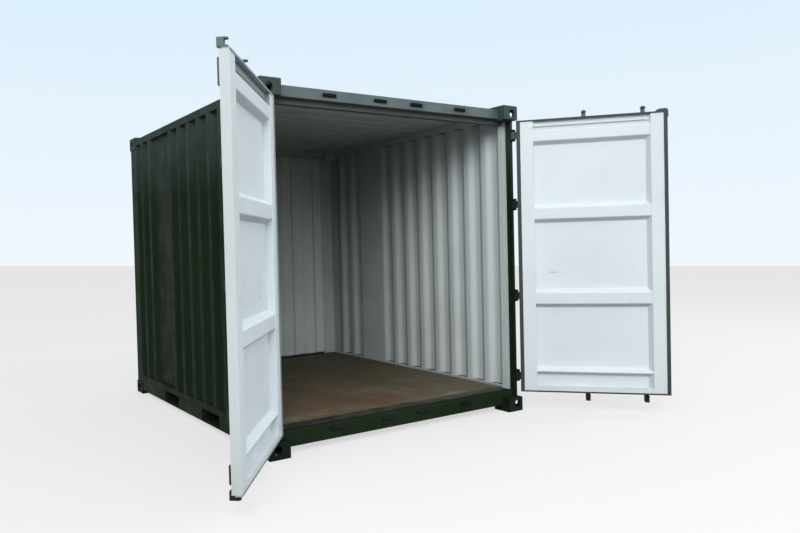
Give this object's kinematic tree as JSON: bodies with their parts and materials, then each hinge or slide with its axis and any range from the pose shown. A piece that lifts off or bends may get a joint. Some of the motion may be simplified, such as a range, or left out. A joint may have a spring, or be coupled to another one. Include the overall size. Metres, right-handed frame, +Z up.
{
  "type": "ten foot shipping container",
  "caption": "Short corrugated steel shipping container with twin end doors on hinges, locking rods with lift handles, corner castings and fork pockets.",
  "frame": {"origin": "bottom centre: on the level ground midway between the four bottom corner castings", "axes": "+X along the length towards the door end, +Z up, +Y to the right for someone inside who faces the rear wall"},
  "size_m": [3.9373, 3.8747, 2.591],
  "materials": {
    "green_paint": "satin, dusty",
    "dark_green_paint": "satin, worn",
    "seal_rubber": "matte",
    "deck_board": "worn, matte",
    "bare_steel": "scuffed"
  },
  "bodies": {
    "container": {"bottom_castings": "green_paint", "cross_members": "green_paint", "door_header": "green_paint", "door_sill": "green_paint", "floor_boards": "deck_board", "fork_pockets": "green_paint", "header_land": "green_paint", "hinge_lugs": "dark_green_paint", "left_bottom_rail": "green_paint", "left_door_post": "green_paint", "left_rear_post": "green_paint", "left_top_rail": "green_paint", "left_wall": "green_paint", "lock_keepers": "green_paint", "rear_bottom_rail": "green_paint", "rear_top_rail": "green_paint", "rear_wall": "green_paint", "right_bottom_rail": "green_paint", "right_door_post": "green_paint", "right_rear_post": "green_paint", "right_top_rail": "green_paint", "right_wall": "green_paint", "roof": "green_paint", "threshold": "bare_steel", "top_castings": "green_paint"},
    "left_door": {"left_door_frame": "green_paint", "left_door_gasket": "seal_rubber", "left_door_panel": "green_paint", "left_handle_catches": "green_paint", "left_hinge_blades": "green_paint", "left_rod_brackets": "green_paint"},
    "left_outer_rod": {"left_outer_rod": "dark_green_paint"},
    "left_outer_handle": {"left_outer_handle": "dark_green_paint"},
    "left_inner_rod": {"left_inner_rod": "dark_green_paint"},
    "left_inner_handle": {"left_inner_handle": "dark_green_paint"},
    "right_door": {"right_door_frame": "green_paint", "right_door_gasket": "seal_rubber", "right_door_panel": "green_paint", "right_handle_catches": "green_paint", "right_hinge_blades": "green_paint", "right_rod_brackets": "green_paint"},
    "right_outer_rod": {"right_outer_rod": "dark_green_paint"},
    "right_outer_handle": {"right_outer_handle": "dark_green_paint"},
    "right_inner_rod": {"right_inner_rod": "dark_green_paint"},
    "right_inner_handle": {"right_inner_handle": "dark_green_paint"}
  },
  "joints": [
    {"name": "left_door_hinge", "type": "hinge", "parent": "container", "child": "left_door", "pos_m": [1.4655, -1.191, 1.3], "axis": [0, 0, -1], "range_deg": [-128.6, 133.4]},
    {"name": "left_outer_rod_turn", "type": "hinge", "parent": "left_door", "child": "left_outer_rod", "pos_m": [1.91018, -1.53958, 1.3], "axis": [0, 0, 1], "range_deg": [-100, 0]},
    {"name": "left_outer_handle_lift", "type": "hinge", "parent": "left_outer_rod", "child": "left_outer_handle", "pos_m": [1.94144, -1.56454, 0.905], "axis": [0.6239, 0.7815, 0], "range_deg": [-25, 0]},
    {"name": "left_inner_rod_turn", "type": "hinge", "parent": "left_door", "child": "left_inner_rod", "pos_m": [2.26421, -1.8222, 1.3], "axis": [0, 0, -1], "range_deg": [-100, 0]},
    {"name": "left_inner_handle_lift", "type": "hinge", "parent": "left_inner_rod", "child": "left_inner_handle", "pos_m": [2.23295, -1.79725, 1.125], "axis": [-0.6239, -0.7815, 0], "range_deg": [-25, 0]},
    {"name": "right_door_hinge", "type": "hinge", "parent": "container", "child": "right_door", "pos_m": [1.4655, 1.191, 1.3], "axis": [0, 0, 1], "range_deg": [-132.9, 129.1]},
    {"name": "right_outer_rod_turn", "type": "hinge", "parent": "right_door", "child": "right_outer_rod", "pos_m": [1.88279, 1.57194, 1.3], "axis": [0, 0, -1], "range_deg": [-100, 0]},
    {"name": "right_outer_handle_lift", "type": "hinge", "parent": "right_outer_rod", "child": "right_outer_handle", "pos_m": [1.91209, 1.59917, 0.905], "axis": [-0.6807, 0.7325, 0], "range_deg": [-25, 0]},
    {"name": "right_inner_rod_turn", "type": "hinge", "parent": "right_door", "child": "right_inner_rod", "pos_m": [2.21463, 1.88031, 1.3], "axis": [0, 0, 1], "range_deg": [-100, 0]},
    {"name": "right_inner_handle_lift", "type": "hinge", "parent": "right_inner_rod", "child": "right_inner_handle", "pos_m": [2.18533, 1.85308, 1.125], "axis": [0.6807, -0.7325, 0], "range_deg": [-25, 0]}
  ]
}
